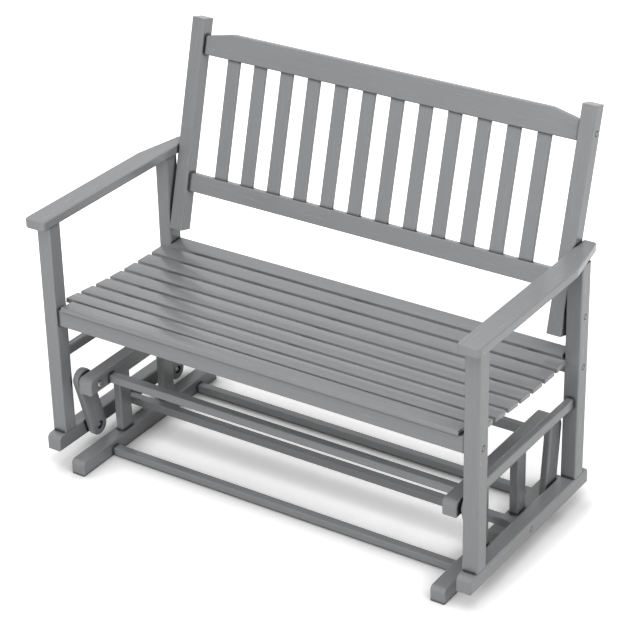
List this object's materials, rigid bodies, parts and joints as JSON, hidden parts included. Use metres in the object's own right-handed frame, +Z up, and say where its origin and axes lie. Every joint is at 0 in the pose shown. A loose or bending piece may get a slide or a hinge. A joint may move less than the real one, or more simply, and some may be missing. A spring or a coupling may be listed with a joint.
{
  "type": "glider bench",
  "caption": "Slatted wooden glider bench with armrests and a leaning slatted back, hung from a fixed base on swing links so that the seat glides fore and aft.",
  "frame": {"origin": "centre of the bounding box, on the floor plane under the base's foot rails", "axes": "X along the bench from its left to its right as seen from the front, Y from front to back, Z up"},
  "size_m": [1.2, 0.648, 0.9598],
  "materials": {
    "painted_timber": "satin grey paint",
    "pivot_steel": "bright zinc-plated steel",
    "frame_bolts": "painted over with the timber"
  },
  "bodies": {
    "base": {"foot_rail_left": "painted_timber", "foot_rail_right": "painted_timber", "top_rail_left": "painted_timber", "top_rail_right": "painted_timber", "front_post_left": "painted_timber", "front_post_right": "painted_timber", "rear_post_left": "painted_timber", "rear_post_right": "painted_timber", "floor_stretcher_front": "painted_timber", "floor_stretcher_rear": "painted_timber", "upper_stretcher_front": "painted_timber", "upper_stretcher_rear": "painted_timber", "upper_pivot_bolts": "pivot_steel"},
    "front_links": {"front_link_left": "painted_timber", "front_link_right": "painted_timber"},
    "rear_links": {"rear_link_left": "painted_timber", "rear_link_right": "painted_timber"},
    "bench": {"seat_slat_1": "painted_timber", "seat_slat_2": "painted_timber", "seat_slat_3": "painted_timber", "seat_slat_4": "painted_timber", "seat_slat_5": "painted_timber", "seat_slat_6": "painted_timber", "seat_slat_7": "painted_timber", "seat_slat_8": "painted_timber", "seat_slat_9": "painted_timber", "runner_left": "painted_timber", "runner_right": "painted_timber", "front_leg_left": "painted_timber", "front_leg_right": "painted_timber", "rear_leg_left": "painted_timber", "rear_leg_right": "painted_timber", "side_rail_left": "painted_timber", "side_rail_right": "painted_timber", "armrest_left": "painted_timber", "armrest_right": "painted_timber", "back_stile_left": "painted_timber", "back_stile_right": "painted_timber", "seat_apron": "painted_timber", "rear_seat_rail": "painted_timber", "cross_stretcher": "painted_timber", "lower_back_rail": "painted_timber", "crest_rail": "painted_timber", "seat_bearer_left": "painted_timber", "seat_bearer_middle": "painted_timber", "seat_bearer_right": "painted_timber", "back_slat_01": "painted_timber", "back_slat_02": "painted_timber", "back_slat_03": "painted_timber", "back_slat_04": "painted_timber", "back_slat_05": "painted_timber", "back_slat_06": "painted_timber", "back_slat_07": "painted_timber", "back_slat_08": "painted_timber", "back_slat_09": "painted_timber", "back_slat_10": "painted_timber", "back_slat_11": "painted_timber", "back_slat_12": "painted_timber", "lower_pivot_bolts": "pivot_steel", "bench_bolts": "frame_bolts"}
  },
  "joints": [
    {"name": "front_links_swing", "type": "hinge", "parent": "base", "child": "front_links", "pos_m": [0, -0.23826, 0.218], "axis": [1, 0, 0], "range_deg": [-15, 15]},
    {"name": "bench_glide", "type": "hinge", "parent": "front_links", "child": "bench", "pos_m": [0, -0.19775, 0.06942], "axis": [1, 0, 0], "range_deg": [-17.8, 17.8]},
    {"name": "rear_links_swing", "type": "hinge", "parent": "base", "child": "rear_links", "pos_m": [0, 0.13924, 0.218], "axis": [1, 0, 0], "range_deg": [-14.6, 14.6]}
  ],
  "couplings": [
    {"joint": "bench_glide", "follows": "front_links_swing", "ratio": -1.1818},
    {"joint": "rear_links_swing", "follows": "front_links_swing", "ratio": 0.96614}
  ]
}
